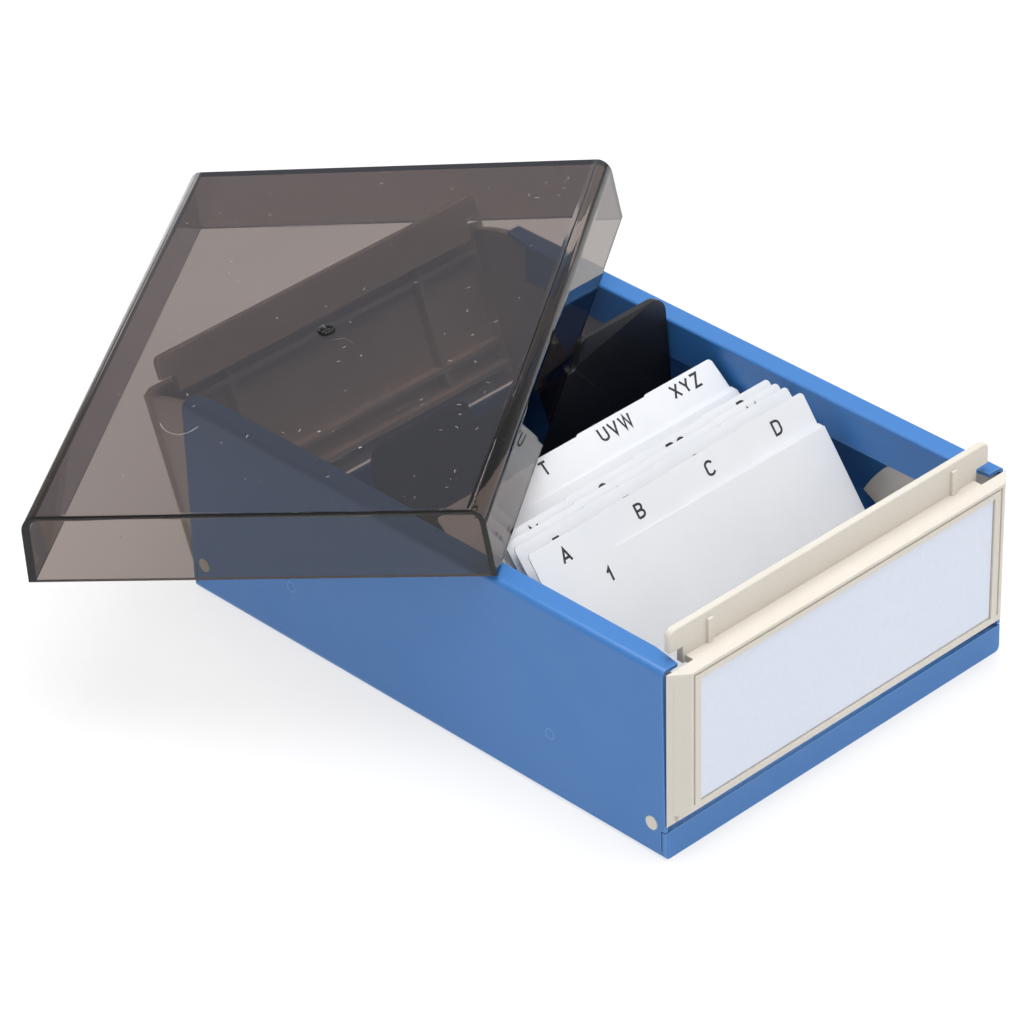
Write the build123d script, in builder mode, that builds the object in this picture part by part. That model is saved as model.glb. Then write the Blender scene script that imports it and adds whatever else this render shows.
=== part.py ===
"""Desktop index-card box: folded steel case, two tilt-out end panels, follower, dividers, lid.

Frame: +Z up, X across the box, Y along it with the front at -Y. The origin is the middle of
the underside of the case. Millimetres.
"""
import math
import os

from build123d import *

# ---------------------------------------------------------------- driving dimensions
# Case, one folded steel sheet
case_width = 122.0
case_length = 172.0
case_height = 56.2
sheet = 1.0
bend_radius = 1.6
flange_width = 7.0
lip_bottom = 45.0
lip_setback = 8.5
tongue_taper = 1.5
sill_height = 8.0
sill_corner = 2.0
sill_gap = 0.4

# Pivot studs of the end panels, measured from the end of the case
pivot_inset = 4.5
pivot_height = 9.4
stud_diameter = 3.8
stud_clearance = 0.08
stud_proud = 0.2

# End panels, one moulding used twice
panel_half_width = 60.8
panel_face_half_width = 56.0
panel_bottom = 10.2
panel_top = 55.7
panel_depth = 4.1
panel_wall = 2.0
panel_gap = 0.3
bottom_chamfer = 4.0
rail_half_width = 56.9
rail_setback = 2.3
rail_thickness = 2.0
rail_top = 64.9
rail_corner = 2.0
notch_half_width = 52.4
notch_top = 58.7
pocket_half_width = 51.5
stop_rib_x = 43.5
stop_rib_width = 1.7
stop_rib_proud = 0.8
stop_rib_top = 62.7
window_half_width = 52.7
window_bottom = 15.9
window_top = 52.6
window_depth = 0.9
frame_groove_width = 0.7
frame_groove_depth = 0.5
frame_groove_inset = 1.2
relief_slot_x = 59.0
relief_slot_width = 1.1
relief_slot_height = 3.4
inner_rib_heights = (23.0, 49.2)
inner_rib_x = 34.0
inner_rib_thickness = 1.5
inner_rib_depth = 1.5
ledge_height = 17.2
cheek_inner_x = 57.4
cheek_thickness = 2.0
cheek_radius = 45.0
cheek_low_angle = 28.0
hub_radius = 3.2
front_panel_open = 1.0
rear_panel_open = 19.5

# Label card in each window
label_thickness = 0.35
label_margin = 0.4
label_gap = 0.05

# Guide rails for the follower, spot-welded to the walls
guide_length = 112.0
guide_height = 19.0
guide_leg = 6.0
guide_shelf = 5.0

# Follower plate
follower_top = 64.0
follower_width = 103.5
follower_shift = 1.3
follower_thickness = 2.0
follower_y = 19.4
follower_lean = 4.5
follower_corner = 4.5
follower_notch_width = 41.5
follower_notch_depth = 7.6
follower_notch_slope = 3.0
follower_notch_shift = 0.6
notch_corner = 2.5
follower_ear_reach = 57.0
follower_ear_low = 11.0
follower_ear_high = 16.6
foot_depth = 12.0
foot_half_width = 40.0
gusset_height = 14.0
gusset_x = 30.0

# Dividers
divider_width = 101.0
divider_body = 62.0
tab_height = 9.2
tab_overlap = 0.5
tab_inset = 0.6
tab_corner = 1.2
divider_thickness = 0.35
divider_pitch = 0.5
divider_foot = sheet + 0.3
curve_radius = 260.0

# Lid
lid_width = 120.0
lid_length = 174.0
lid_height = 18.7
lid_draft = 1.0
lid_wall = 1.8
lid_edge_radius = 4.5
lid_end_radius = 0.6
lid_centre = (-24.1, 70.55, 68.8)
lid_yaw = -55.4
lid_pitch = -0.1
lid_roll = -6.65

half_width = case_width / 2
half_length = case_length / 2
inner_half_width = half_width - sheet
lip_x = half_width - flange_width

os.makedirs("parts", exist_ok=True)


def save(piece, label):
    """Name a finished piece and write it as its own STEP file."""
    piece.label = label
    export_step(piece, f"parts/{label}.step")


# ---------------------------------------------------------------- case
def make_body_shell():
    """Steel case: closed fold opened along the top, with lips, sills and stud holes."""
    hole_radius = stud_diameter / 2 + stud_clearance
    with BuildPart() as shell:
        with BuildSketch(Plane.XZ):
            with Locations((0, case_height / 2)):
                RectangleRounded(case_width, case_height, bend_radius)
                RectangleRounded(
                    case_width - 2 * sheet,
                    case_height - 2 * sheet,
                    bend_radius - sheet,
                    mode=Mode.SUBTRACT,
                )
            with Locations((0, case_height)):
                Rectangle(2 * lip_x, 4 * sheet, mode=Mode.SUBTRACT)
        extrude(amount=half_length, both=True)

        # Turned-down lips, which stop short of both ends
        with BuildSketch(Plane.XZ):
            for side in (-1, 1):
                with Locations((side * (lip_x + sheet / 2), (lip_bottom + case_height) / 2)):
                    Rectangle(sheet, case_height - lip_bottom)
        extrude(amount=half_length - lip_setback, both=True)
        lip_folds = shell.edges().filter_by(Axis.Y).filter_by_position(
            Axis.Z, case_height - 0.01, case_height + 0.01
        )
        long_folds = [edge for edge in lip_folds if abs(abs(edge.center().X) - lip_x) < 0.01]
        fillet(long_folds, radius=0.7)

        # Flange tongues narrow towards both ends
        with BuildSketch(Plane.XY.offset(case_height - 2 * sheet)):
            for side in (-1, 1):
                for end in (-1, 1):
                    setback = end * (half_length - lip_setback)
                    Polygon(
                        (side * (lip_x - 0.5), setback),
                        (side * (lip_x + 0.4), setback),
                        (side * (lip_x + 0.4 + tongue_taper), end * (half_length + 1)),
                        (side * (lip_x - 0.5), end * (half_length + 1)),
                        align=None,
                    )
        extrude(amount=4 * sheet, mode=Mode.SUBTRACT)

        # Sills folded up from the floor across both ends, with a gap to the walls
        for end in (-1, 1):
            with BuildSketch(Plane.XZ.offset(-end * (half_length - sheet / 2))):
                with Locations((0, sill_height / 2)):
                    RectangleRounded(case_width, sill_height, sill_corner)
                with Locations((0, sheet)):
                    Rectangle(case_width - 2 * bend_radius, 2 * sheet)
            extrude(amount=sheet / 2, both=True)
        for side in (-1, 1):
            for end in (-1, 1):
                with BuildSketch(Plane.YZ.offset(side * (half_width - sheet / 2))):
                    with Locations((end * (half_length - sheet / 2), sill_height + sill_gap / 2)):
                        Rectangle(sheet + 0.01, sill_gap)
                    with Locations(
                        (end * (half_length - sheet - sill_gap / 2), (sill_height + sill_gap + 2) / 2)
                    ):
                        Rectangle(sill_gap, sill_height + sill_gap - 2)
                extrude(amount=sheet, both=True, mode=Mode.SUBTRACT)

        # Holes for the pivot studs
        with BuildSketch(Plane.YZ):
            for end in (-1, 1):
                with Locations((end * (half_length - pivot_inset), pivot_height)):
                    Circle(hole_radius)
        extrude(amount=case_width, both=True, mode=Mode.SUBTRACT)
    return shell.part


def make_guide_rail(side):
    """Angle strip on one wall: the shelf keeps the follower's ear down."""
    wall_x = side * inner_half_width
    with BuildPart() as rail:
        with BuildSketch(Plane.XZ):
            Polygon(
                (wall_x, guide_height),
                (wall_x, guide_height - guide_leg),
                (wall_x - side * sheet, guide_height - guide_leg),
                (wall_x - side * sheet, guide_height - sheet),
                (wall_x - side * guide_shelf, guide_height - sheet),
                (wall_x - side * guide_shelf, guide_height),
                align=None,
            )
        extrude(amount=guide_length / 2, both=True)
    return rail.part


# ---------------------------------------------------------------- end panels
# The panel is drawn closed at the front: y is measured from the end of the case, out is -y.
def panel_slab(front, back, reach, low, high, grow):
    """Sketch pair for one tapered block of the panel, wide at the back."""
    with BuildSketch(Plane.XZ.offset(-back)) as wide:
        with Locations((0, (low + high) / 2)):
            Rectangle(2 * reach, high - low)
    with BuildSketch(Plane.XZ.offset(-front)) as narrow:
        with Locations((0, (low + grow[1] + high) / 2)):
            Rectangle(2 * (reach - grow[0]), high - low - grow[1])
    return [wide.sketch, narrow.sketch]


def cheek_outline():
    """Sector about the pivot, cut off at the panel, with the hub round the stud."""
    reach = 2 * cheek_radius
    low = math.radians(cheek_low_angle)
    with BuildSketch(Plane.YZ) as outline:
        with Locations((pivot_inset, pivot_height)):
            Circle(cheek_radius)
        Polygon(
            (pivot_inset, pivot_height),
            (pivot_inset + reach * math.cos(low), pivot_height + reach * math.sin(low)),
            (pivot_inset + reach * math.cos(low), reach),
            (-1.5, reach),
            (-1.5, pivot_height + pivot_inset),
            align=None,
            mode=Mode.INTERSECT,
        )
        with Locations((pivot_inset, pivot_height)):
            Circle(hub_radius)
    return outline.sketch


def make_end_panel():
    """Moulded end panel: tapered tray, label frame, hand rail, ribs, cheeks and studs."""
    taper = (panel_half_width - panel_face_half_width, bottom_chamfer)
    inner_taper = (taper[0] - 1.2, bottom_chamfer - 1.2)
    outer = panel_slab(-panel_depth, -panel_gap, panel_half_width, panel_bottom, panel_top, taper)
    inner = panel_slab(
        -panel_depth + panel_wall,
        0,
        panel_half_width - panel_wall,
        panel_bottom + panel_wall,
        panel_top - panel_wall,
        inner_taper,
    )
    rail_mid = rail_setback + rail_thickness / 2
    with BuildPart() as panel:
        loft(outer)
        # Shoulder that runs back to the rail, clear of the case's flange tongues
        with BuildSketch(Plane.XY.offset(panel_top - panel_wall)):
            with Locations((0, (rail_setback + rail_thickness) / 2 - 0.5)):
                Rectangle(2 * pocket_half_width, rail_setback + rail_thickness + 1)
        extrude(amount=panel_wall)
        loft(inner, mode=Mode.SUBTRACT)

        # Hand rail, notched where the flanges pass below its ends
        with BuildSketch(Plane.XZ.offset(-rail_mid)) as rail:
            with Locations((0, (panel_top - panel_wall + rail_top) / 2)):
                Rectangle(2 * rail_half_width, rail_top - panel_top + panel_wall)
            fillet(rail.vertices().group_by(Axis.Y)[-1], radius=rail_corner)
            for side in (-1, 1):
                with Locations((side * (notch_half_width + 10), notch_top - 10)):
                    Rectangle(20, 20, mode=Mode.SUBTRACT)
        extrude(amount=rail_thickness / 2, both=True)
        rail_edges = panel.edges().filter_by(Axis.X).filter_by_position(
            Axis.Z, rail_top - 0.01, rail_top + 0.01
        )
        fillet(rail_edges, radius=0.5)

        # Short upright ribs on the front of the rail
        with BuildSketch(Plane.XY.offset(panel_top)):
            for side in (-1, 1):
                with Locations((side * stop_rib_x, rail_setback - stop_rib_proud / 2 + 0.1)):
                    Rectangle(stop_rib_width, stop_rib_proud + 0.2)
        extrude(amount=stop_rib_top - panel_top)

        # Label window, and the groove round its frame
        with BuildSketch(Plane.XZ.offset(panel_depth)):
            with Locations((0, (window_bottom + window_top) / 2)):
                Rectangle(2 * window_half_width, window_top - window_bottom)
        extrude(amount=-window_depth, mode=Mode.SUBTRACT)
        groove_top = panel_top - frame_groove_inset
        groove_side = panel_face_half_width - frame_groove_inset + 0.2
        with BuildSketch(Plane.XZ.offset(panel_depth)):
            with Locations((0, groove_top)):
                Rectangle(2 * groove_side + frame_groove_width, frame_groove_width)
            for side in (-1, 1):
                with Locations((side * groove_side, (window_bottom + groove_top) / 2)):
                    Rectangle(frame_groove_width, groove_top - window_bottom)
        extrude(amount=-frame_groove_depth, mode=Mode.SUBTRACT)

        # Relief slots beside the cheeks, in the lower edge
        with BuildSketch(Plane.XZ.offset(panel_depth)):
            for side in (-1, 1):
                with Locations((side * relief_slot_x, panel_bottom + relief_slot_height / 2)):
                    Rectangle(relief_slot_width, relief_slot_height)
        extrude(amount=-panel_depth + 1.2, mode=Mode.SUBTRACT)

        # Stiffening ribs and bottom ledge on the inside
        rib_back = panel_depth - panel_wall + inner_rib_depth
        with BuildSketch(Plane.XZ.offset(panel_depth - panel_wall + 0.2)):
            for height in inner_rib_heights:
                with Locations((0, height)):
                    Rectangle(2 * (panel_face_half_width - 1), inner_rib_thickness)
            for side in (-1, 1):
                with Locations((side * inner_rib_x, (panel_top + ledge_height) / 2)):
                    Rectangle(inner_rib_thickness, panel_top - ledge_height - 1)
        extrude(amount=-rib_back)
        with BuildSketch(Plane.XZ.offset(panel_depth - panel_wall + 0.2)):
            with Locations((0, ledge_height - inner_rib_thickness / 2)):
                Rectangle(2 * (panel_face_half_width - 1), inner_rib_thickness)
        extrude(amount=-rib_back - 1.5)

        # Cheeks that swing inside the case walls, and the studs they turn on
        for side in (-1, 1):
            inner_x = cheek_inner_x if side > 0 else -cheek_inner_x - cheek_thickness
            add(extrude(cheek_outline().moved(Location((inner_x, 0, 0))), cheek_thickness))
            stud_x = side * (half_width + stud_proud)
            stud_length = half_width + stud_proud - cheek_inner_x
            with BuildSketch(Plane.YZ.offset(stud_x)):
                with Locations((pivot_inset, pivot_height)):
                    Circle(stud_diameter / 2)
            extrude(amount=-side * stud_length)
    return panel.part


def make_label():
    """Card that lies in the label window."""
    inset = panel_depth - window_depth + label_gap
    with BuildPart() as label:
        with BuildSketch(Plane.XZ.offset(inset)):
            with Locations((0, (window_bottom + window_top) / 2)):
                Rectangle(
                    2 * (window_half_width - label_margin),
                    window_top - window_bottom - 2 * label_margin,
                )
        extrude(amount=label_thickness)
    return label.part


def at_front(angle):
    """Place a panel drawn from the case end at the front, opened by the angle."""
    pivot = Location((0, -half_length + pivot_inset, pivot_height))
    back = Location((0, -pivot_inset, -pivot_height))
    return pivot * Location((0, 0, 0), (1, 0, 0), angle) * back


def at_rear(angle):
    """The same panel turned round for the rear end."""
    return Location((0, 0, 0), (0, 0, 1), 180) * at_front(angle)


# ---------------------------------------------------------------- follower
def make_follower():
    """Follower plate with finger notch, side ears under the guide rails, and a foot."""
    lean = math.radians(follower_lean)
    plate_top = (follower_top - divider_foot) / math.cos(lean)
    notch_floor = plate_top - follower_notch_depth
    half_notch = follower_notch_width / 2
    left = follower_notch_shift - half_notch
    right = follower_notch_shift + half_notch

    def in_notch(vertex):
        return left - 1 < vertex.X < right + 1 and vertex.Y > notch_floor - 1

    plate_plane = Plane(
        origin=(follower_shift, follower_y, divider_foot),
        x_dir=(1, 0, 0),
        z_dir=(0, -math.cos(lean), math.sin(lean)),
    )
    with BuildPart() as follower:
        with BuildSketch(plate_plane) as plate:
            with Locations((0, plate_top / 2)):
                Rectangle(follower_width, plate_top)
            fillet(plate.vertices().group_by(Axis.Y)[-1], radius=follower_corner)
            Polygon(
                (left, plate_top + 1),
                (left, plate_top),
                (left + follower_notch_slope, notch_floor),
                (right - follower_notch_slope, notch_floor),
                (right, plate_top),
                (right, plate_top + 1),
                align=None,
                mode=Mode.SUBTRACT,
            )
            fillet(plate.vertices().filter_by(in_notch), radius=notch_corner)
            with Locations((0, (follower_ear_low + follower_ear_high) / 2)):
                Rectangle(2 * follower_ear_reach, follower_ear_high - follower_ear_low)
        extrude(amount=-follower_thickness)

        # Foot on the floor behind the plate, with two gussets
        with BuildSketch(Plane.XY.offset(divider_foot)):
            with Locations((follower_shift, follower_y + foot_depth / 2 + 0.5)):
                Rectangle(2 * foot_half_width, foot_depth)
        extrude(amount=follower_thickness)
        for side in (-1, 1):
            with BuildSketch(Plane.YZ.offset(follower_shift + side * gusset_x)):
                Polygon(
                    (follower_y + 1, divider_foot + 0.5),
                    (follower_y + foot_depth, divider_foot + 0.5),
                    (follower_y + 2.2, divider_foot + gusset_height),
                    align=None,
                )
            extrude(amount=follower_thickness / 2, both=True)
    return follower.part


# ---------------------------------------------------------------- dividers
# Each row holds four sheets, one tab each. Rows list: name, foot y, lean from upright,
# x shift, and the lettering of its four tabs. The last row is bowed.
rows = (
    ("a", -72.2, 36.2, -0.8, ("a", "b", "c", "d")),
    ("e", -68.2, 40.3, 2.0, ("e", "f", "g", "h")),
    ("i", -65.2, 40.6, 2.0, ("ij", "k", "l", "m")),
    ("n", -62.2, 40.9, 2.0, ("n", "o", "pq", "r")),
    ("s", -44.0, 36.0, 2.0, ("s", "t", "uvw", "xyz")),
)
tab_pitch = divider_width / 4


def tab_span(position):
    """Middle and width of a tab: a quarter of the sheet and a small overlap, set in at its ends."""
    half_sheet = divider_width / 2 - tab_inset
    left = max((position - 2) * tab_pitch - tab_overlap / 2, -half_sheet)
    right = min((position - 1) * tab_pitch + tab_overlap / 2, half_sheet)
    return (left + right) / 2, right - left


def divider_outline(position):
    """Sheet with its tab in one of four places, drawn up from the bottom edge."""
    tab_centre, tab_width = tab_span(position)
    with BuildSketch(Plane.XY) as outline:
        with Locations((0, divider_body / 2)):
            Rectangle(divider_width, divider_body)
        with Locations((tab_centre, divider_body + tab_height / 2)):
            Rectangle(tab_width, tab_height)
        top = [vertex for vertex in outline.vertices() if vertex.Y > divider_body + 1]
        fillet(top, radius=tab_corner)
    return outline.sketch


def make_flat_divider(foot_y, lean, shift, position):
    """Straight sheet leaning back; sheets further back in the row stand one pitch behind."""
    angle = math.radians(lean)
    step = position * divider_pitch / math.cos(angle)
    plane = Plane(
        origin=(shift, foot_y + step, divider_foot),
        x_dir=(1, 0, 0),
        z_dir=(0, -math.cos(angle), math.sin(angle)),
    )
    with BuildPart() as divider:
        with BuildSketch(plane):
            add(divider_outline(position))
        extrude(amount=-divider_thickness)
    return divider.part


def make_bowed_divider(foot_y, lean, shift, position):
    """Sheet bowed backwards: an arc swept across the box, cut to the tab outline."""
    angle = math.radians(lean)
    step = position * divider_pitch / math.cos(angle)
    centre_y = foot_y + step + curve_radius * math.cos(angle)
    centre_z = divider_foot - curve_radius * math.sin(angle)

    def on_arc(radius, length):
        turn = angle + length / curve_radius
        return (centre_y - radius * math.cos(turn), centre_z + radius * math.sin(turn))

    height = divider_body + tab_height
    back_radius = curve_radius - divider_thickness
    shoulder = on_arc(curve_radius, divider_body)
    cut_angle = angle + divider_body / curve_radius
    cut_plane = Plane(
        origin=(shift, shoulder[0], shoulder[1]),
        x_dir=(1, 0, 0),
        z_dir=(0, -math.cos(cut_angle), math.sin(cut_angle)),
    )
    tab_centre, tab_width = tab_span(position)
    with BuildPart() as divider:
        with BuildSketch(Plane.YZ.offset(shift)):
            with BuildLine():
                front = ThreePointArc(
                    on_arc(curve_radius, 0),
                    on_arc(curve_radius, height / 2),
                    on_arc(curve_radius, height),
                )
                back = ThreePointArc(
                    on_arc(back_radius, 0),
                    on_arc(back_radius, height / 2),
                    on_arc(back_radius, height),
                )
                Line(front @ 0, back @ 0)
                Line(front @ 1, back @ 1)
            make_face()
        extrude(amount=divider_width / 2, both=True)
        with BuildSketch(cut_plane):
            with Locations((0, 10)):
                Rectangle(divider_width + 2, 20)
            with Locations((tab_centre, tab_height / 2 - 2)):
                RectangleRounded(tab_width, tab_height + 4, tab_corner, mode=Mode.SUBTRACT)
        extrude(amount=5, both=True, mode=Mode.SUBTRACT)
    return divider.part


# ---------------------------------------------------------------- lid
def lid_block(wall, low, edge_radius, end_radius):
    """Drafted block of the lid, set in by the wall, from below its top down to the height low."""
    draft = lid_draft / lid_height
    half_across = lid_width / 2 - lid_draft - wall
    half_along = lid_length / 2 - lid_draft - wall
    with BuildPart() as block:
        with BuildSketch(Plane.XZ) as across:
            Polygon(
                (half_across + draft * wall, -wall),
                (-half_across - draft * wall, -wall),
                (-half_across + draft * low, low),
                (half_across - draft * low, low),
                align=None,
            )
            corners = [vertex for vertex in across.vertices() if vertex.Y > -wall - 0.01]
            fillet(corners, radius=edge_radius)
        extrude(amount=lid_length, both=True)
        with BuildSketch(Plane.YZ) as along:
            Polygon(
                (half_along + draft * wall, -wall),
                (-half_along - draft * wall, -wall),
                (-half_along + draft * low, low),
                (half_along - draft * low, low),
                align=None,
            )
            corners = [vertex for vertex in along.vertices() if vertex.Y > -wall - 0.01]
            fillet(corners, radius=end_radius)
        extrude(amount=lid_width, both=True, mode=Mode.INTERSECT)
    return block.part


def make_lid():
    """Loose lid: drafted tray, open below, long edges rounded, drawn about its top's middle."""
    outside = lid_block(0, -lid_height, lid_edge_radius, lid_end_radius)
    hollow_radius = lid_edge_radius - lid_wall
    hollow = lid_block(lid_wall, -lid_height - 1, hollow_radius, lid_end_radius / 2)
    return outside - hollow


def lid_place():
    """Where the loose lid lies: turned across the box and tipped down at its far side."""
    turn = Location((0, 0, 0), (0, 0, 1), lid_yaw)
    pitch = Location((0, 0, 0), (1, 0, 0), lid_pitch)
    roll = Location((0, 0, 0), (0, 1, 0), lid_roll)
    return Location(lid_centre) * turn * pitch * roll


# ---------------------------------------------------------------- build and write
save(make_body_shell(), "body_shell")
save(make_guide_rail(-1), "left_guide_rail")
save(make_guide_rail(1), "right_guide_rail")
end_panel = make_end_panel()
end_label = make_label()
save(end_panel.moved(at_front(front_panel_open)), "front_panel")
save(end_label.moved(at_front(front_panel_open)), "front_label")
save(end_panel.moved(at_rear(rear_panel_open)), "rear_panel")
save(end_label.moved(at_rear(rear_panel_open)), "rear_label")
save(make_follower(), "follower_plate")
for row, foot_y, lean, shift, letters in rows:
    make_divider = make_bowed_divider if row == "s" else make_flat_divider
    for position, letter in enumerate(letters):
        save(make_divider(foot_y, lean, shift, position), f"divider_{letter}")
save(make_lid().moved(lid_place()), "lid")
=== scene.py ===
"""Looks of the index-card box: blue steel case, cream end panels, dividers, smoke lid."""
import math
import random

import bmesh
import bpy
from mathutils import Matrix, Vector


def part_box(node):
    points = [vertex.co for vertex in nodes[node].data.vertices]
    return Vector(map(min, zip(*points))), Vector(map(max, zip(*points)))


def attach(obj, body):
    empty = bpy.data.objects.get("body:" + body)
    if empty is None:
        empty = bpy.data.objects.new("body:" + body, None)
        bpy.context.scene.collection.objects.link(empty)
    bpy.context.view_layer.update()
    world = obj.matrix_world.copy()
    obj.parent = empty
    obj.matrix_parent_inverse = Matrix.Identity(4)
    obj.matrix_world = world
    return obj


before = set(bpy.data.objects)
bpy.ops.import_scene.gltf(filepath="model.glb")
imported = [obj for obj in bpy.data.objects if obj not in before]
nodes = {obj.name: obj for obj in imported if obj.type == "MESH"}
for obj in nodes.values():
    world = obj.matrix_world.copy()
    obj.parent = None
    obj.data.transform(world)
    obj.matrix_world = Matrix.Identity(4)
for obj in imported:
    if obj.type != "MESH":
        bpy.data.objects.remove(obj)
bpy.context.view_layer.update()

MM = 0.001


# ------------------------------------------------------------------ helpers
def srgb(red, green, blue):
    """Linear RGBA of an sRGB triple from 0 to 255."""
    def linear(value):
        value /= 255
        return value / 12.92 if value <= 0.04045 else ((value + 0.055) / 1.055) ** 2.4
    return (linear(red), linear(green), linear(blue), 1.0)


def add(tree, kind, inputs=None, **settings):
    """One shader node; an input is a socket to link or a value to set."""
    made = tree.nodes.new("ShaderNode" + kind)
    for key, value in settings.items():
        setattr(made, key, value)
    for key, value in (inputs or {}).items():
        if isinstance(value, bpy.types.NodeSocket):
            tree.links.new(value, made.inputs[key])
        else:
            made.inputs[key].default_value = value
    return made


def material(name):
    """A new material, its empty node tree, and the object coordinates in it."""
    made = bpy.data.materials.new(name)
    made.use_nodes = True
    tree = made.node_tree
    tree.nodes.clear()
    return made, tree, add(tree, "TexCoord").outputs["Object"]


def noise(tree, place, scale, detail=3.0, roughness=0.55, distortion=0.0):
    return add(tree, "TexNoise", {
        "Vector": place, "Scale": scale, "Detail": detail,
        "Roughness": roughness, "Distortion": distortion,
    }).outputs["Fac"]


def remap(tree, value, low, high, new_low=0.0, new_high=1.0):
    return add(tree, "MapRange", {
        "Value": value, "From Min": low, "From Max": high,
        "To Min": new_low, "To Max": new_high,
    }).outputs["Result"]


def mix(tree, factor, first, second):
    """The Mix node's colour inputs are its sockets 6 and 7, and their result is output 2."""
    return add(tree, "Mix", {0: factor, 6: first, 7: second}, data_type="RGBA").outputs[2]


def multiply(tree, first, second):
    return add(tree, "Math", {0: first, 1: second}, operation="MULTIPLY").outputs[0]


def mix_shader(tree, factor, first, second):
    return add(tree, "MixShader", {0: factor, 1: first, 2: second}).outputs[0]


def edge_wear_and_highlight(tree, radius):
    """1 near sharp edges, 0 on flats: how far the rounded normal turns from the real one; it masks
    a painted highlight along the edges.
    """
    rounded = add(tree, "Bevel", {"Radius": radius}, samples=4).outputs["Normal"]
    flat = add(tree, "NewGeometry").outputs["Normal"]
    turned = add(tree, "VectorMath", {0: rounded, 1: flat}, operation="DOT_PRODUCT")
    return remap(tree, turned.outputs["Value"], 0.97, 0.75)


def specks(tree, place, scale, middle, rim, patch_scale, patch_low, patch_high):
    """Half strength on small specks, which keep to scattered patches."""
    cells = add(tree, "TexVoronoi", {"Vector": place, "Scale": scale}, feature="F1")
    speck = remap(tree, cells.outputs["Distance"], rim, middle)
    patch = remap(tree, noise(tree, place, patch_scale, 2.0), patch_low, patch_high)
    return multiply(tree, multiply(tree, speck, patch), 0.5)


def surface(tree, base, gloss, height, strength, depth, more=None):
    """Principled shader with a fine bump, depth in metres."""
    bump = add(tree, "Bump", {"Height": height, "Strength": strength, "Distance": depth})
    return add(tree, "BsdfPrincipled", {
        "Base Color": base, "Roughness": gloss, "Normal": bump.outputs["Normal"], **(more or {}),
    }).outputs[0]


def close(tree, shader):
    add(tree, "OutputMaterial", {"Surface": shader})


def scene_object(name, data):
    made = bpy.data.objects.new(name, data)
    bpy.context.scene.collection.objects.link(made)
    return made


def mesh_object(name, build, piece_looks):
    """An object of the built mesh, with one material."""
    mesh = bpy.data.meshes.new(name)
    build.to_mesh(mesh)
    build.free()
    mesh.materials.append(piece_looks)
    return scene_object(name, mesh)


def skin(build, rings):
    """Faces between each ring of points and the next one."""
    for one, two in zip(rings, rings[1:]):
        for side in range(len(one)):
            after = (side + 1) % len(one)
            build.faces.new((one[side], one[after], two[after], two[side]))


# ------------------------------------------------------------------ materials
def make_paint():
    made, tree, place = material("blue_paint_looks")
    base = mix(tree, noise(tree, place, 14.0, 2.0), srgb(58, 119, 187), srgb(64, 126, 194))
    mottle = remap(tree, noise(tree, place, 420.0, 2.0), 0.35, 0.7, 0.0, 0.22)
    base = mix(tree, mottle, base, srgb(62, 117, 184))
    # Edges painted lighter blue: a painted highlight along the folds, partly paint worn thin
    # there.
    base = mix(tree, multiply(tree, edge_wear_and_highlight(tree, 0.0009), 0.55), base, srgb(122, 168, 222))
    gloss = remap(tree, noise(tree, place, 60.0), 0.3, 0.7, 0.36, 0.46)
    peel = noise(tree, place, 1100.0, 2.0, 0.5)
    close(tree, surface(tree, base, gloss, peel, 0.16, 0.00005, {
        "Specular IOR Level": 0.4, "Coat Weight": 0.1, "Coat Roughness": 0.25,
    }))
    return made


def make_cream():
    made, tree, place = material("cream_plastic_looks")
    fine = noise(tree, place, 900.0)
    base = mix(tree, noise(tree, place, 22.0), srgb(217, 210, 199), srgb(224, 218, 208))
    base = mix(tree, remap(tree, fine, 0.3, 0.7, 0.0, 0.18), base, srgb(207, 199, 187))
    gloss = remap(tree, noise(tree, place, 75.0, 4.0), 0.3, 0.7, 0.42, 0.56)
    close(tree, surface(tree, base, gloss, fine, 0.22, 0.00004, {
        "Subsurface Weight": 0.12, "Subsurface Radius": (0.0015, 0.0012, 0.0009),
        "Subsurface Scale": 1.0,
    }))
    return made


def make_sheet():
    """White index sheet, a little light coming through it."""
    made, tree, place = material("white_sheet_looks")
    broad = remap(tree, noise(tree, place, 30.0, 4.0, 0.6), 0.35, 0.7)
    base = mix(tree, broad, srgb(242, 243, 246), srgb(236, 238, 242))
    smudge = remap(tree, noise(tree, place, 55.0, 5.0, 0.62, 0.6), 0.66, 0.8, 0.0, 0.3)
    base = mix(tree, smudge, base, srgb(214, 214, 216))
    gloss = remap(tree, noise(tree, place, 90.0), 0.3, 0.7, 0.38, 0.52)
    front = surface(tree, base, gloss, noise(tree, place, 1300.0, 2.0), 0.12, 0.00003)
    through = add(tree, "BsdfTranslucent", {"Color": srgb(236, 238, 243)}).outputs[0]
    close(tree, mix_shader(tree, 0.12, front, through))
    return made


def make_label_card():
    made, tree, place = material("label_card_looks")
    fibre = noise(tree, place, 650.0, 6.0, 0.7, 1.2)
    base = mix(tree, noise(tree, place, 18.0, 2.0), srgb(222, 229, 243), srgb(227, 233, 245))
    base = mix(tree, remap(tree, fibre, 0.4, 0.75, 0.0, 0.35), base, srgb(210, 218, 234))
    gloss = remap(tree, fibre, 0.3, 0.7, 0.48, 0.62)
    close(tree, surface(tree, base, gloss, fibre, 0.18, 0.00003))
    return made


def make_black():
    made, tree, place = material("black_plastic_looks")
    dirt = specks(tree, place, 620.0, 0.09, 0.14, 160.0, 0.56, 0.66)
    base = mix(tree, noise(tree, place, 40.0), srgb(19, 19, 22), srgb(25, 25, 29))
    base = mix(tree, dirt, base, srgb(120, 120, 124))
    gloss = remap(tree, noise(tree, place, 70.0, 4.0), 0.3, 0.7, 0.34, 0.48)
    close(tree, surface(tree, base, gloss, noise(tree, place, 1000.0), 0.2, 0.00004))
    return made


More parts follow.
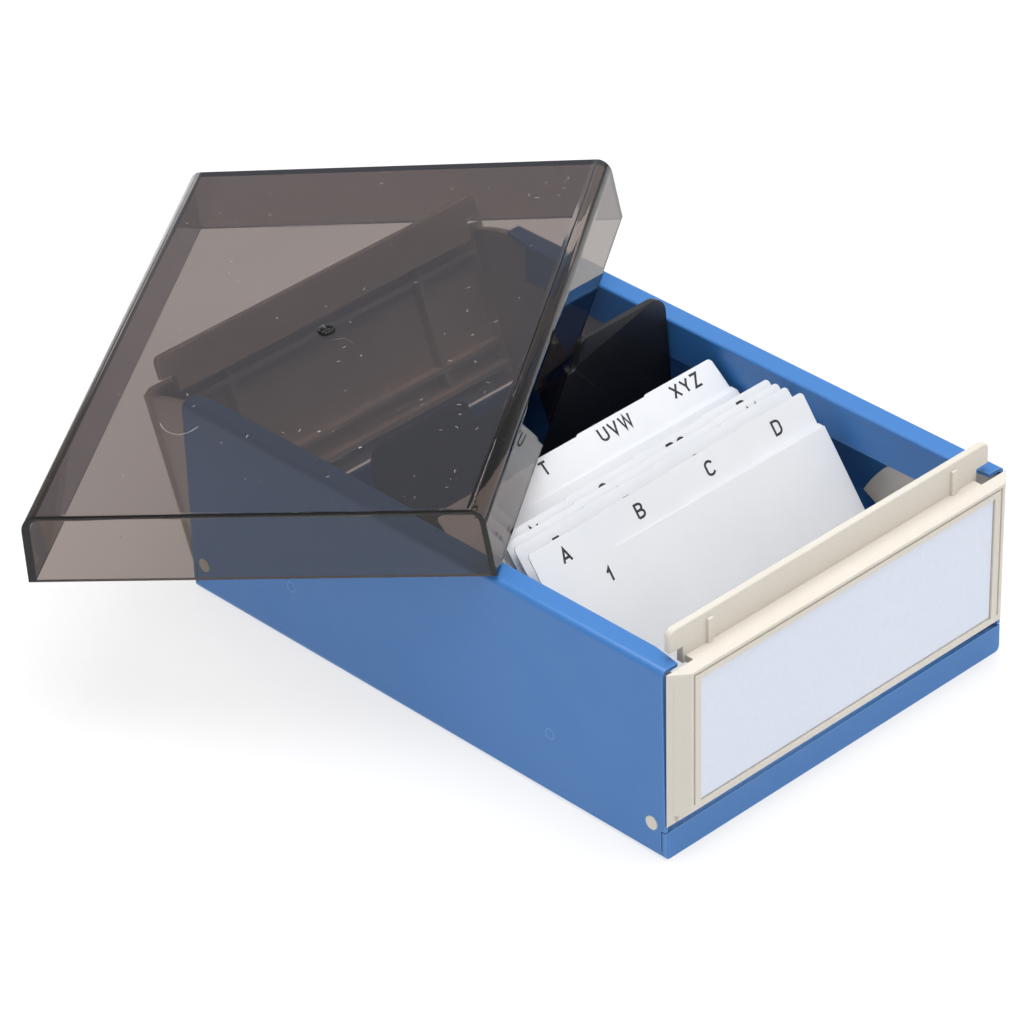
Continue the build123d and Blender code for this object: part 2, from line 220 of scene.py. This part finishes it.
def make_smoke():
    """Clear plastic tinted through its thickness. Lamp light passes straight through."""
    made, tree, place = material("smoke_plastic_looks")
    tint = mix(tree, noise(tree, place, 16.0), (0.93, 0.92, 0.91, 1), (1.0, 1.0, 1.0, 1))
    handled = remap(tree, noise(tree, place, 38.0), 0.45, 0.75, 0.015, 0.06)
    ripple = noise(tree, place, 55.0, 2.0)
    glass = surface(tree, tint, handled, ripple, 0.03, 0.0003,
                    {"Transmission Weight": 1.0, "IOR": 1.49})
    dust = specks(tree, place, 330.0, 0.05, 0.09, 90.0, 0.60, 0.68)
    lint = add(tree, "BsdfDiffuse", {"Color": srgb(205, 203, 200)}).outputs[0]
    dusty = mix_shader(tree, dust, glass, lint)
    clear = add(tree, "BsdfTransparent", {"Color": (0.95, 0.95, 0.95, 1)}).outputs[0]
    lamp = add(tree, "LightPath").outputs["Is Shadow Ray"]
    tinted = add(tree, "VolumeAbsorption", {
        "Color": (0.2875, 0.1775, 0.115, 1), "Density": 800.0,
    })
    add(tree, "OutputMaterial", {
        "Surface": mix_shader(tree, lamp, dusty, clear), "Volume": tinted.outputs[0],
    })
    return made


def make_mark(name, dark, light, rough):
    """Small marks lying on a surface: lint, scratches and the moulding's gate."""
    made, tree, place = material(name)
    grain = noise(tree, place, 1800.0, 4.0, 0.7)
    base = mix(tree, remap(tree, grain, 0.35, 0.65), dark, light)
    close(tree, surface(tree, base, rough, grain, 0.5, 0.0001))
    return made


def make_ink():
    made, tree, place = material("ink_looks")
    grain = noise(tree, place, 2600.0)
    base = mix(tree, remap(tree, grain, 0.35, 0.7), srgb(34, 34, 38), srgb(58, 58, 63))
    close(tree, surface(tree, base, 0.55, grain, 0.1, 0.00002))
    return made


looks = {
    "blue_paint": make_paint(), "cream_plastic": make_cream(),
    "white_sheet": make_sheet(), "label_card": make_label_card(),
    "black_plastic": make_black(), "smoke_plastic": make_smoke(),
}
ink = make_ink()
for cad_node in nodes.values():
    for place in cad_node.material_slots:
        place.material = looks[place.material.name.split(".")[0]]


# ------------------------------------------------------------------ rounded edges
JOIN_WITHIN = 2e-6
# Node, width of its rounding in metres, and the angle (degrees) past which an edge is rounded
ROUNDED = (("body_shell", 0.00018, 35.0), ("front_panel", 0.00022, 35.0),
           ("rear_panel", 0.00022, 35.0), ("follower_plate", 0.00022, 35.0),
           ("lid", 0.00025, 50.0))


def soften(cad_node, width, angle):
    """Joins the faces' shared edges, then rounds those sharper than the angle (degrees)."""
    weld = cad_node.modifiers.new("join", "WELD")
    weld.merge_threshold = JOIN_WITHIN
    bevel = cad_node.modifiers.new("round", "BEVEL")
    bevel.width = width
    bevel.segments = 2
    bevel.limit_method = "ANGLE"
    bevel.angle_limit = math.radians(angle)
    bevel.use_clamp_overlap = True
    bevel.harden_normals = False
    bevel.miter_outer = "MITER_ARC"


for name, width, angle in ROUNDED:
    soften(nodes[name], width, angle)


# ------------------------------------------------------------------ lettering
# Drawn as strokes on a cap height of 1. A stroke is a list of points and arcs, and an arc is
# (centre x, centre y, radius x, radius y, start degrees, end degrees).
ROUND_TOP = (0.27, 0.73, 0.27, 0.27)
ROUND_LOW = (0.27, 0.27, 0.27, 0.27)
OVAL = [(*ROUND_TOP, 0, 180), (*ROUND_LOW, 180, 360), (0.54, 0.73)]
P_BOWL = [(0, 1), (0.27, 1), (0.27, 0.74, 0.25, 0.26, 90, -90), (0, 0.48)]
LETTERS = {
    "A": [[(0, 0), (0.31, 1), (0.62, 0)], [(0.11, 0.30), (0.51, 0.30)]],
    "B": [[(0, 0), (0, 1), (0.26, 1), (0.26, 0.76, 0.22, 0.24, 90, -90), (0, 0.52)],
          [(0.26, 0.52), (0.27, 0.26, 0.26, 0.26, 90, -90), (0, 0)]],
    "C": [[(*ROUND_TOP, 15, 180), (*ROUND_LOW, 180, 345)]],
    "D": [[(0, 0), (0, 1), (0.24, 1), (0.24, 0.70, 0.30, 0.30, 90, 0),
           (0.24, 0.30, 0.30, 0.30, 0, -90), (0, 0)]],
    "E": [[(0.46, 1), (0, 1), (0, 0), (0.46, 0)], [(0, 0.52), (0.40, 0.52)]],
    "F": [[(0.46, 1), (0, 1), (0, 0)], [(0, 0.50), (0.40, 0.50)]],
    "G": [[(*ROUND_TOP, 20, 180), (*ROUND_LOW, 180, 360), (0.54, 0.47), (0.30, 0.47)]],
    "H": [[(0, 0), (0, 1)], [(0.54, 0), (0.54, 1)], [(0, 0.52), (0.54, 0.52)]],
    "I": [[(0, 0), (0, 1)]],
    "J": [[(0.36, 1), (0.36, 0.2), (0.16, 0.2, 0.2, 0.2, 0, -150)]],
    "K": [[(0, 0), (0, 1)], [(0.50, 1), (0, 0.42)], [(0.17, 0.60), (0.54, 0)]],
    "L": [[(0, 1), (0, 0), (0.44, 0)]],
    "M": [[(0, 0), (0, 1), (0.33, 0.35), (0.66, 1), (0.66, 0)]],
    "N": [[(0, 0), (0, 1), (0.54, 0), (0.54, 1)]],
    "O": [OVAL],
    "P": [[(0, 0)] + P_BOWL],
    "Q": [OVAL, [(0.32, 0.22), (0.56, -0.04)]],
    "R": [[(0, 0)] + P_BOWL, [(0.26, 0.48), (0.54, 0)]],
    "S": [[(0.26, 0.76, 0.25, 0.24, 25, 270), (0.26, 0.26, 0.27, 0.26, 90, -155)]],
    "T": [[(0, 1), (0.56, 1)], [(0.28, 1), (0.28, 0)]],
    "U": [[(0, 1), (*ROUND_LOW, 180, 360), (0.54, 1)]],
    "V": [[(0, 1), (0.29, 0), (0.58, 1)]],
    "W": [[(0, 1), (0.2, 0), (0.41, 0.95), (0.62, 0), (0.82, 1)]],
    "X": [[(0, 0), (0.56, 1)], [(0, 1), (0.56, 0)]],
    "Y": [[(0, 1), (0.28, 0.45), (0.56, 1)], [(0.28, 0.45), (0.28, 0)]],
    "Z": [[(0, 1), (0.52, 1), (0, 0), (0.52, 0)]],
    "1": [[(0, 0.70), (0.22, 1), (0.22, 0)]],
}
# Lengths in mm. LETTER_SPACE, LETTER_WIDEN and MITRE_LIMIT are ratios; MIDDLE_TAB counts tabs.
LETTER_SPACE = 0.34
LETTER_WIDEN = 1.22
STROKE = 0.66
CAP_HEIGHT = 4.15
INK_RAISE = 0.02
STROKE_RAISE = 0.001
ARC_DEGREES = 15.0
MITRE_LIMIT = 0.35
CLOSE_POINTS = 0.01
SHEET_FOOT = 1.3
SHEET_PITCH = 0.5
TAB_PITCH = 25.25
MIDDLE_TAB = 1.5
NUMBER_FOOT = 54.8
NUMBER_ACROSS = -30.3
NUMBER_HEIGHT = 4.0

# body, foot y, lean from upright, x shift, bow radius, letter top up the sheet, and each
# tab's letters, the place of their middle beside the tab's own, and how much lower they stand.
ROWS = (
    ("row_a_d", -72.2, 36.2, -0.8, 0.0, 68.55,
     (("A", -1.8), ("B", -0.55), ("C", -0.15), ("D", -0.25))),
    ("row_e_h", -68.2, 40.3, 2.0, 0.0, 68.6,
     (("E", 0.8), ("F", 0.8, 0.42), ("G", 0.6, 0.35), ("H", 0.05, 0.3))),
    ("row_i_m", -65.2, 40.6, 2.0, 0.0, 69.45,
     (("IJ", 0.2), ("K", 0.9), ("L", 1.4), ("M", 1.2))),
    ("row_n_r", -62.2, 40.9, 2.0, 0.0, 69.85,
     (("N", 0.2), ("O", -0.5), ("PQ", 1.2), ("R", 0.6))),
    ("row_s_z", -44.0, 36.0, 2.0, 260.0, 70.1,
     (("S", -1.2), ("T", -1.5), ("UVW", -0.8), ("XYZ", 0.35))),
)


def stroke_points(stroke, height):
    """The stroke's points in mm, with its arcs divided."""
    points = []
    for item in stroke:
        if len(item) == 2:
            points.append(Vector(item))
            continue
        x, y, radius_x, radius_y, start, end = item
        count = max(2, round(abs(end - start) / ARC_DEGREES))
        for step in range(count + 1):
            turn = math.radians(start + (end - start) * step / count)
            points.append(Vector((x + radius_x * math.cos(turn), y + radius_y * math.sin(turn))))
    scaled = [Vector((point.x * LETTER_WIDEN, point.y)) * (height - STROKE)
              + Vector((STROKE, STROKE)) / 2 for point in points]
    kept = scaled[:1]
    for point in scaled[1:]:
        if (point - kept[-1]).length > CLOSE_POINTS:
            kept.append(point)
    return kept


def ribbon(build, points, left, raise_by):
    """A flat stroke STROKE wide along the points, mitred at its corners."""
    closed = (points[0] - points[-1]).length < 2 * CLOSE_POINTS
    if closed:
        points = points[:-1]
    count = len(points)
    sides = []
    for index, point in enumerate(points):
        before = points[index - 1] if closed or index else None
        after = points[(index + 1) % count] if closed or index < count - 1 else None
        ahead = (after - point).normalized() if after else (point - before).normalized()
        behind = (point - before).normalized() if before else ahead
        along = ahead + behind
        along = along.normalized() if along.length > 1e-4 else ahead
        across = Vector((-along.y, along.x))
        straight = Vector((-ahead.y, ahead.x))
        reach = STROKE / 2 / max(MITRE_LIMIT, across.dot(straight))
        sides.append([build.verts.new(((p.x + left) * MM, p.y * MM, raise_by * MM))
                      for p in (point + across * reach, point - across * reach)])
    for index in range(count if closed else count - 1):
        one, two = sides[index], sides[(index + 1) % count]
        build.faces.new((one[0], one[1], two[1], two[0]))


def letter_strokes(words, height):
    """The words as flat strokes, their feet on y 0 and their middle on x 0."""
    build = bmesh.new()
    left = 0.0
    level = 0
    for letter in words:
        for stroke in LETTERS[letter]:
            ribbon(build, stroke_points(stroke, height), left, level * STROKE_RAISE)
            level += 1
        wide = max(p.x for s in LETTERS[letter] for p in stroke_points(s, height))
        left += wide + STROKE / 2 + LETTER_SPACE * height / 2
    total = left - LETTER_SPACE * height / 2
    bmesh.ops.translate(build, verts=build.verts, vec=(-total / 2 * MM, 0, 0))
    bmesh.ops.recalc_face_normals(build, faces=build.faces)
    for face in build.faces:
        if face.normal.z < 0:
            face.normal_flip()
    return build


def sheet_frame(foot_y, lean, shift, radius, position, length):
    """Matrix at a point up a sheet's front face: X across, Y up the sheet, Z out of it."""
    angle = math.radians(lean)
    y = foot_y + position * SHEET_PITCH / math.cos(angle)
    z = SHEET_FOOT
    if radius:
        turn = angle + length / radius
        y += radius * (math.cos(angle) - math.cos(turn))
        z += radius * (math.sin(turn) - math.sin(angle))
        angle = turn
    else:
        y += length * math.sin(angle)
        z += length * math.cos(angle)
    up = Vector((0, math.sin(angle), math.cos(angle)))
    out = Vector((0, -math.cos(angle), math.sin(angle)))
    rotation = Matrix(((1, 0, 0), up, out)).transposed().to_4x4()
    spot = Vector((shift, y, z)) + out * INK_RAISE
    return Matrix.Translation(spot * MM) @ rotation


def print_letters(words, body, spot, across, height, prefix="letter_"):
    printed = mesh_object(prefix + words, letter_strokes(words, height), ink)
    printed.matrix_world = spot @ Matrix.Translation((across * MM, 0, 0))
    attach(printed, body)


for body, foot_y, lean, shift, radius, top, tabs in ROWS:
    for position, (words, aside, *drop) in enumerate(tabs):
        low = top - CAP_HEIGHT - sum(drop)
        spot = sheet_frame(foot_y, lean, shift, radius, position, low)
        across = (position - MIDDLE_TAB) * TAB_PITCH + aside
        print_letters(words, body, spot, across, CAP_HEIGHT)
first_body, *first_sheet = ROWS[0][:5]
spot = sheet_frame(*first_sheet, 0, NUMBER_FOOT)
print_letters("1", first_body, spot, NUMBER_ACROSS, NUMBER_HEIGHT, "number_")


# ------------------------------------------------------------------ lid details
# Drawn in mm in the lid's own frame: X across it, Y along it, Z out of its top.
LID_CENTRE = Vector((-24.1, 70.55, 68.8)) * MM
LID_TURNS = ((-55.4, "Z"), (-0.1, "X"), (-6.65, "Y"))
MARK_RAISE = 0.01
STRAND_END = 0.35
lid_matrix = Matrix.Translation(LID_CENTRE)
for turn, axis in LID_TURNS:
    lid_matrix = lid_matrix @ Matrix.Rotation(math.radians(turn), 4, axis)
lint_looks = make_mark("lint_looks", srgb(176, 172, 168), srgb(214, 211, 207), 0.8)
scratch_looks = make_mark("scratch_looks", srgb(124, 118, 114), srgb(160, 154, 149), 0.4)
gate_looks = make_mark("gate_looks", srgb(3, 3, 3), srgb(14, 13, 13), 0.12)


def strand(build, points, radius, sides=5):
    """A thin closed strand along the points, resting on the plane z 0."""
    rings = []
    for index, point in enumerate(points):
        ahead = points[min(index + 1, len(points) - 1)]
        behind = points[max(index - 1, 0)]
        along = (ahead - behind).normalized()
        across = Vector((-along.y, along.x, 0)).normalized()
        reach = radius * (STRAND_END if index in (0, len(points) - 1) else 1.0)
        middle = Vector((point.x, point.y, point.z + radius))
        ring = []
        for side in range(sides):
            turn = math.tau * side / sides
            ring.append(build.verts.new(
                (middle + across * reach * math.cos(turn)
                 + Vector((0, 0, reach * math.sin(turn)))) * MM))
        rings.append(ring)
    skin(build, rings)
    build.faces.new(list(reversed(rings[0])))
    build.faces.new(rings[-1])


def smooth_path(points, steps=6):
    """Catmull-Rom points through the given ones."""
    points = [Vector((*p, 0)) for p in points]
    held = [points[0]] + points + [points[-1]]
    path = []
    for index in range(len(points) - 1):
        a, b, c, d = held[index:index + 4]
        for step in range(steps):
            t = step / steps
            path.append(0.5 * (2 * b + (c - a) * t + (2 * a - 5 * b + 4 * c - d) * t * t
                               + (3 * b - a - 3 * c + d) * t ** 3))
    return path + [points[-1]]


def lid_piece(name, build, piece_looks):
    bmesh.ops.recalc_face_normals(build, faces=build.faces)
    piece = mesh_object(name, build, piece_looks)
    piece.matrix_world = lid_matrix @ Matrix.Translation((0, 0, MARK_RAISE * MM))
    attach(piece, "lid")


def lid_strands(name, paths, piece_looks):
    build = bmesh.new()
    for path, radius in paths:
        strand(build, smooth_path(path), radius)
    lid_piece(name, build, piece_looks)


lid_strands("lid_hair", [(((-33.6, -43.6), (-31.0, -47.4), (-27.4, -49.3), (-24.8, -48.2),
                           (-22.9, -45.6)), 0.07)], lint_looks)
lid_strands("lid_scratch", [(((2.4, -5.4), (4.2, -4.7), (5.9, -4.5)), 0.06),
                            (((5.9, -4.5), (7.3, -5.5), (8.8, -7.0)), 0.05)], scratch_looks)

# Lint and dust: most of it towards the long edge at +X
LINT_SEED = 11
LINT_COUNT = 120
LINT_EDGE = 50
LINT_SPREAD = 95
LINT_HALF_LENGTH = 82
LINT_CROWDING = 1.7
LINT_LONG = (0.25, 1.5)
LINT_SHORT = (0.1, 0.3)
LINT_BEND = 0.25
LINT_RADIUS = (0.04, 0.075)
dice = random.Random(LINT_SEED)
marks = [(((9.1, -49.5), (9.5, -49.3), (9.9, -49.2)), 0.16),
         (((21.5, -57.4), (21.9, -57.2), (22.2, -56.9)), 0.16)]
for index in range(LINT_COUNT):
    x = LINT_EDGE - LINT_SPREAD * dice.random() ** LINT_CROWDING
    y = dice.uniform(-LINT_HALF_LENGTH, LINT_HALF_LENGTH)
    turn = dice.uniform(0, math.tau)
    long = dice.uniform(*(LINT_LONG if index % 3 else LINT_SHORT))
    bend = dice.uniform(-LINT_BEND, LINT_BEND) * long
    step = Vector((math.cos(turn), math.sin(turn)))
    side = Vector((-step.y, step.x)) * bend
    spot = Vector((x, y))
    path = [spot - step * long / 2, spot + side, spot + step * long / 2]
    marks.append(([tuple(p) for p in path], dice.uniform(*LINT_RADIUS)))
lid_strands("lid_lint", marks, lint_looks)

# The stub of the moulding's gate: a broken ring round a rough middle
GATE_SIDES = 40
GATE_RINGS = ((2.35, 0.0), (2.25, 0.4), (1.95, 0.62), (1.55, 0.5), (1.2, 0.12), (0.6, 0.3))
GATE_WOBBLE = 0.03
GATE_JAGGED = 0.35
GATE_RAISE = 0.005
build = bmesh.new()
rings = []
for radius, high in GATE_RINGS:
    ring = []
    for side in range(GATE_SIDES):
        turn = math.tau * side / GATE_SIDES
        reach = radius * (1 + GATE_WOBBLE * dice.uniform(-1, 1))
        lift = high * (1 + GATE_JAGGED * dice.uniform(-1, 1)) + GATE_RAISE
        ring.append(build.verts.new((reach * math.cos(turn) * MM, reach * math.sin(turn) * MM,
                                     lift * MM)))
    rings.append(ring)
skin(build, rings)
build.faces.new(rings[-1])
build.faces.new(list(reversed(rings[0])))
lid_piece("lid_gate", build, gate_looks)


# ------------------------------------------------------------------ spot welds
# Radius and height of the ring's section, and where the welds are: y, z and end, in mm
WELD_SECTION = ((1.7, 0.0), (1.55, 0.05), (1.3, 0.05), (1.15, 0.0))
WELD_SIDES = 48
WELDS = ((-46.8, 18.6, "front"), (47.4, 18.1, "rear"))


def weld_ring(name, side, y, z):
    """Shallow ring standing on the wall where a guide rail is welded behind it."""
    build = bmesh.new()
    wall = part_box("body_shell")[1][0]
    loops = []
    for radius, proud in WELD_SECTION:
        loops.append([build.verts.new((side * (wall + proud * MM),
                                       y * MM + radius * MM * math.cos(math.tau * k / WELD_SIDES),
                                       z * MM + radius * MM * math.sin(math.tau * k / WELD_SIDES)))
                      for k in range(WELD_SIDES)])
    skin(build, loops + loops[:1])
    bmesh.ops.recalc_face_normals(build, faces=build.faces)
    for face in build.faces:
        face.smooth = True
    piece = mesh_object(name, build, looks["blue_paint"])
    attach(piece, "case")


for side, hand in ((-1, "left"), (1, "right")):
    for y, z, end in WELDS:
        weld_ring("weld_" + hand + "_" + end, side, y, z)


# ------------------------------------------------------------------ stage
FLOOR_SIZE = 4.0
FLOOR_DROP = 0.00005
FLOOR_GLOW = 0.69
SKY_COLOUR = (0.97, 0.985, 1.0, 1.0)
SKY_STRENGTH = 0.45

floor_looks, tree, place = material("floor_looks")
shade = mix(tree, noise(tree, place, 3.0), (0.29, 0.29, 0.29, 1), (0.31, 0.31, 0.31, 1))
close(tree, add(tree, "BsdfPrincipled", {
    "Base Color": shade, "Roughness": 0.7,
    "Emission Color": (1, 1, 1, 1), "Emission Strength": FLOOR_GLOW,
}).outputs[0])
build = bmesh.new()
bmesh.ops.create_grid(build, x_segments=1, y_segments=1, size=FLOOR_SIZE)
floor = mesh_object("floor", build, floor_looks)
floor.location = (0, 0, -FLOOR_DROP)

world = bpy.data.worlds.new("studio")
world.use_nodes = True
sky = world.node_tree.nodes["Background"]
sky.inputs["Color"].default_value = SKY_COLOUR
sky.inputs["Strength"].default_value = SKY_STRENGTH
bpy.context.scene.world = world


def softbox(name, place, target, size, power, colour=(1, 1, 1)):
    """A rectangular lamp at the place, facing the target; metres and watts."""
    light = bpy.data.lights.new(name, "AREA")
    light.shape = "RECTANGLE"
    light.size, light.size_y = size
    light.energy = power
    light.color = colour
    lamp = scene_object(name, light)
    lamp.location = place
    lamp.rotation_mode = "QUATERNION"
    aim = Vector(target) - Vector(place)
    lamp.rotation_quaternion = aim.to_track_quat("-Z", "Y")


softbox("top_light", (0.0, -0.1, 1.6), (0, 0, 0), (1.3, 1.3), 25.0)
softbox("back_light", (1.2, 1.25, 1.0), (0, 0, 0.05), (1.5, 1.2), 1.6, (0.62, 0.68, 1.0))
softbox("front_light", (0.3, -1.5, 1.1), (0, 0, 0.03), (1.2, 0.9), 3.5)

# The camera's place, and which way its right, up and back point
CAMERA_PLACE = (-0.784938, -0.808852, 0.784000)
CAMERA_RIGHT = (0.71509341, -0.69833655, -0.0311043)
CAMERA_UP = (0.40586228, 0.37855, 0.83185077)
CAMERA_BACK = (-0.56913726, -0.60747507, 0.55412707)
camera_data = bpy.data.cameras.new("camera")
camera_data.lens = 186.328
camera_data.sensor_width = 36.0
camera_data.clip_start = 0.05
camera_data.clip_end = 50.0
camera = scene_object("camera", camera_data)
turned = Matrix((CAMERA_RIGHT, CAMERA_UP, CAMERA_BACK)).transposed().to_4x4()
camera.matrix_world = Matrix.Translation(CAMERA_PLACE) @ turned
bpy.context.scene.camera = camera
bpy.context.scene.view_settings.view_transform = "Standard"
